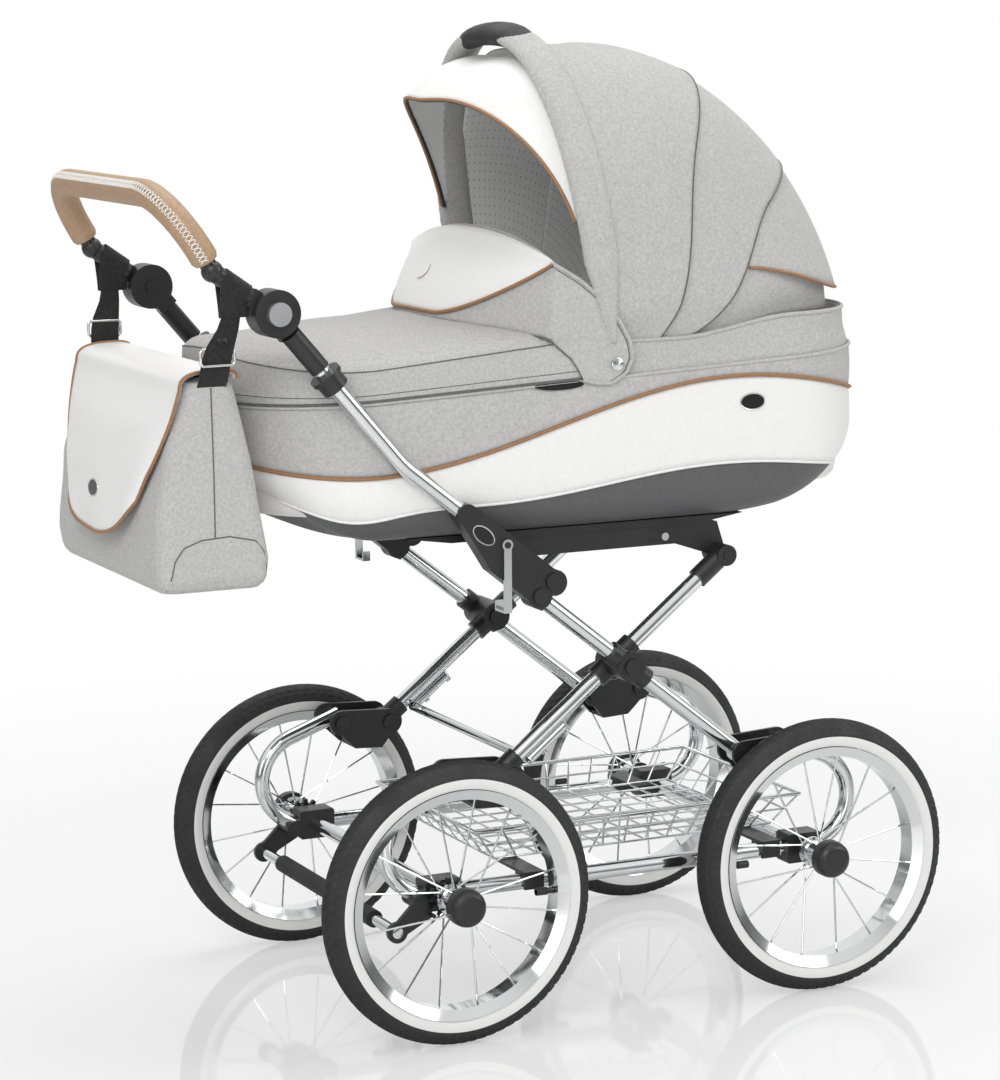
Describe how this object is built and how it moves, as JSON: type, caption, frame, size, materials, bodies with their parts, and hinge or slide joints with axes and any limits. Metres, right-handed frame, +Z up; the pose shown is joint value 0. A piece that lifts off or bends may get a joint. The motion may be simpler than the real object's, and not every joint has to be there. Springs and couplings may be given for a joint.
{
  "type": "bassinet pram",
  "caption": "Retro bassinet pram: grey melange carrycot with folding hood on a chrome C-spring scissor frame, spoked wheels, wire basket and a leather grip.",
  "frame": {"origin": "on the ground under the middle of the pram's outline", "axes": "+Z up, +X towards the hood end, +Y towards the pram's left side, the handle at -X"},
  "size_m": [1.0422, 0.591, 1.2123],
  "materials": {
    "tyre": "matt black with a white side ring",
    "chrome": "polished",
    "black_plastic": "satin moulded",
    "black_metal": "satin black",
    "rubber": "matt",
    "silver": "silver paint",
    "leather": "tan, hand stitched",
    "grey_fabric": "light grey melange",
    "white_hide": "white grained leatherette",
    "webbing": "woven black webbing",
    "tray_plastic": "dark grey moulded",
    "mattress_cloth": "quilted pale cloth"
  },
  "bodies": {
    "base": {"spring_left": "chrome", "spring_right": "chrome", "axles": "chrome", "axle_clamps": "black_plastic", "spring_bolts": "black_metal", "basket": "chrome", "basket_clips": "black_plastic"},
    "wheel_rear_left": {"tyre_rear_left": "tyre", "rim_rear_left": "chrome", "hub_rear_left": "black_plastic"},
    "wheel_rear_right": {"tyre_rear_right": "tyre", "rim_rear_right": "chrome", "hub_rear_right": "black_plastic"},
    "wheel_front_left": {"tyre_front_left": "tyre", "rim_front_left": "chrome", "hub_front_left": "black_plastic"},
    "wheel_front_right": {"tyre_front_right": "tyre", "rim_front_right": "chrome", "hub_front_right": "black_plastic"},
    "brake_pedal": {"brake_levers": "black_plastic", "brake_bar": "chrome", "brake_sleeve": "rubber"},
    "rear_links": {"rear_links": "black_plastic"},
    "front_links": {"front_links": "black_plastic"},
    "inner_frame": {"inner_tubes": "chrome", "inner_fittings": "black_plastic", "cross_bar": "chrome"},
    "outer_frame": {"outer_tubes": "chrome", "outer_sleeves": "black_plastic", "hinge_brackets": "black_plastic", "push_arms": "chrome"},
    "top_rails": {"top_rails": "black_plastic", "rail_pins": "chrome"},
    "bail_left": {"bail_left": "chrome"},
    "bail_right": {"bail_right": "chrome"},
    "collar_left": {"collar_left": "black_plastic"},
    "collar_right": {"collar_right": "black_plastic"},
    "handle_slide": {"handle_sleeves": "black_plastic"},
    "handle": {"handle_joints": "black_plastic", "handle_tube": "black_metal", "grip": "leather", "bag_loops": "webbing"},
    "button_left": {"button_left": "silver"},
    "button_right": {"button_right": "silver"},
    "bag": {"bag_body": "grey_fabric", "bag_straps": "webbing"},
    "bag_flap": {"bag_flap": "white_hide"},
    "carrycot": {"tray": "tray_plastic", "side_band": "white_hide", "fabric_side": "grey_fabric", "head_wall": "grey_fabric", "mattress": "mattress_cloth", "adapter_rails": "black_plastic", "foot_cover": "grey_fabric", "wind_collar": "grey_fabric", "hood_rear_section": "grey_fabric"},
    "hood_middle": {"hood_middle_section": "grey_fabric"},
    "hood_front": {"hood_front_section": "grey_fabric", "hood_grip": "black_plastic"},
    "wind_flap": {"wind_flap": "white_hide"}
  },
  "joints": [
    {"name": "wheel_rear_left_spin", "type": "hinge", "parent": "base", "child": "wheel_rear_left", "pos_m": [-0.15985, 0.2535, 0.175], "axis": [0, 1, 0], "continuous": true},
    {"name": "wheel_rear_right_spin", "type": "hinge", "parent": "base", "child": "wheel_rear_right", "pos_m": [-0.15985, -0.2535, 0.175], "axis": [0, 1, 0], "continuous": true},
    {"name": "wheel_front_left_spin", "type": "hinge", "parent": "base", "child": "wheel_front_left", "pos_m": [0.34615, 0.2535, 0.175], "axis": [0, 1, 0], "continuous": true},
    {"name": "wheel_front_right_spin", "type": "hinge", "parent": "base", "child": "wheel_front_right", "pos_m": [0.34615, -0.2535, 0.175], "axis": [0, 1, 0], "continuous": true},
    {"name": "brake_press", "type": "hinge", "parent": "base", "child": "brake_pedal", "pos_m": [-0.19285, 0, 0.171], "axis": [0, -1, 0], "range_deg": [0, 17]},
    {"name": "rear_links_turn", "type": "hinge", "parent": "base", "child": "rear_links", "pos_m": [-0.13361, 0, 0.31259], "axis": [0, 1, 0], "range_deg": [0, 60.5]},
    {"name": "inner_frame_turn", "type": "hinge", "parent": "rear_links", "child": "inner_frame", "pos_m": [-0.06585, 0, 0.309], "axis": [0, -1, 0], "range_deg": [0, 36.5]},
    {"name": "frame_fold", "type": "hinge", "parent": "inner_frame", "child": "outer_frame", "pos_m": [0.09315, 0, 0.435], "axis": [0, -1, 0], "range_deg": [0, 48]},
    {"name": "front_links_turn", "type": "hinge", "parent": "base", "child": "front_links", "pos_m": [0.31991, 0, 0.31259], "axis": [0, -1, 0], "range_deg": [0, 60.5]},
    {"name": "top_rails_turn", "type": "hinge", "parent": "inner_frame", "child": "top_rails", "pos_m": [0.24676, 0, 0.55673], "axis": [0, -1, 0], "range_deg": [0, 21]},
    {"name": "handle_height", "type": "slide", "parent": "outer_frame", "child": "handle_slide", "axis": [-0.6508, 0, 0.7593], "range_m": [0, 0.07]},
    {"name": "collar_left_lift", "type": "slide", "parent": "outer_frame", "child": "collar_left", "axis": [-0.6508, 0, 0.7593], "range_m": [0, 0.006]},
    {"name": "bail_left_swing", "type": "hinge", "parent": "outer_frame", "child": "bail_left", "pos_m": [-0.07691, 0.2245, 0.60038], "axis": [0, 1, 0], "range_deg": [0, 75]},
    {"name": "collar_right_lift", "type": "slide", "parent": "outer_frame", "child": "collar_right", "axis": [-0.6508, 0, 0.7593], "range_m": [0, 0.006]},
    {"name": "bail_right_swing", "type": "hinge", "parent": "outer_frame", "child": "bail_right", "pos_m": [-0.07691, -0.2245, 0.60038], "axis": [0, 1, 0], "range_deg": [0, 75]},
    {"name": "handle_tilt", "type": "hinge", "parent": "handle_slide", "child": "handle", "pos_m": [-0.36814, 0, 0.89206], "axis": [0, 1, 0], "range_deg": [-45, 45]},
    {"name": "button_left_press", "type": "slide", "parent": "handle", "child": "button_left", "axis": [0, -1, 0], "range_m": [0, 0.004], "stiffness_N_per_m": 800, "springref_m": -0.002},
    {"name": "button_right_press", "type": "slide", "parent": "handle", "child": "button_right", "axis": [0, 1, 0], "range_m": [0, 0.004], "stiffness_N_per_m": 800, "springref_m": -0.002},
    {"name": "bag_swing", "type": "hinge", "parent": "handle", "child": "bag", "pos_m": [-0.41565, 0, 0.89133], "axis": [0, -1, 0], "range_deg": [-45, 45]},
    {"name": "bag_flap_open", "type": "hinge", "parent": "bag", "child": "bag_flap", "pos_m": [-0.40085, 0, 0.8243], "axis": [0, 1, 0], "range_deg": [0, 100]},
    {"name": "carrycot_lift", "type": "slide", "parent": "base", "child": "carrycot", "axis": [0, 0, 1], "range_m": [0, 0.35]},
    {"name": "hood_middle_turn", "type": "hinge", "parent": "carrycot", "child": "hood_middle", "pos_m": [0.08315, 0, 0.808], "axis": [0, 1, 0], "range_deg": [0, 28]},
    {"name": "hood_fold", "type": "hinge", "parent": "hood_middle", "child": "hood_front", "pos_m": [0.08315, 0, 0.808], "axis": [0, 1, 0], "range_deg": [0, 28]},
    {"name": "wind_flap_turn", "type": "hinge", "parent": "carrycot", "child": "wind_flap", "pos_m": [-0.01245, 0, 0.96657], "axis": [0, 1, 0], "range_deg": [0, 75]}
  ],
  "couplings": [
    {"joint": "rear_links_turn", "follows": "frame_fold", "ratio": 1.2602},
    {"joint": "inner_frame_turn", "follows": "frame_fold", "ratio": 0.76017},
    {"joint": "front_links_turn", "follows": "frame_fold", "ratio": 1.2602},
    {"joint": "top_rails_turn", "follows": "frame_fold", "ratio": 0.4375},
    {"joint": "bag_swing", "follows": "handle_tilt", "ratio": 1},
    {"joint": "hood_middle_turn", "follows": "hood_fold", "ratio": 1}
  ]
}
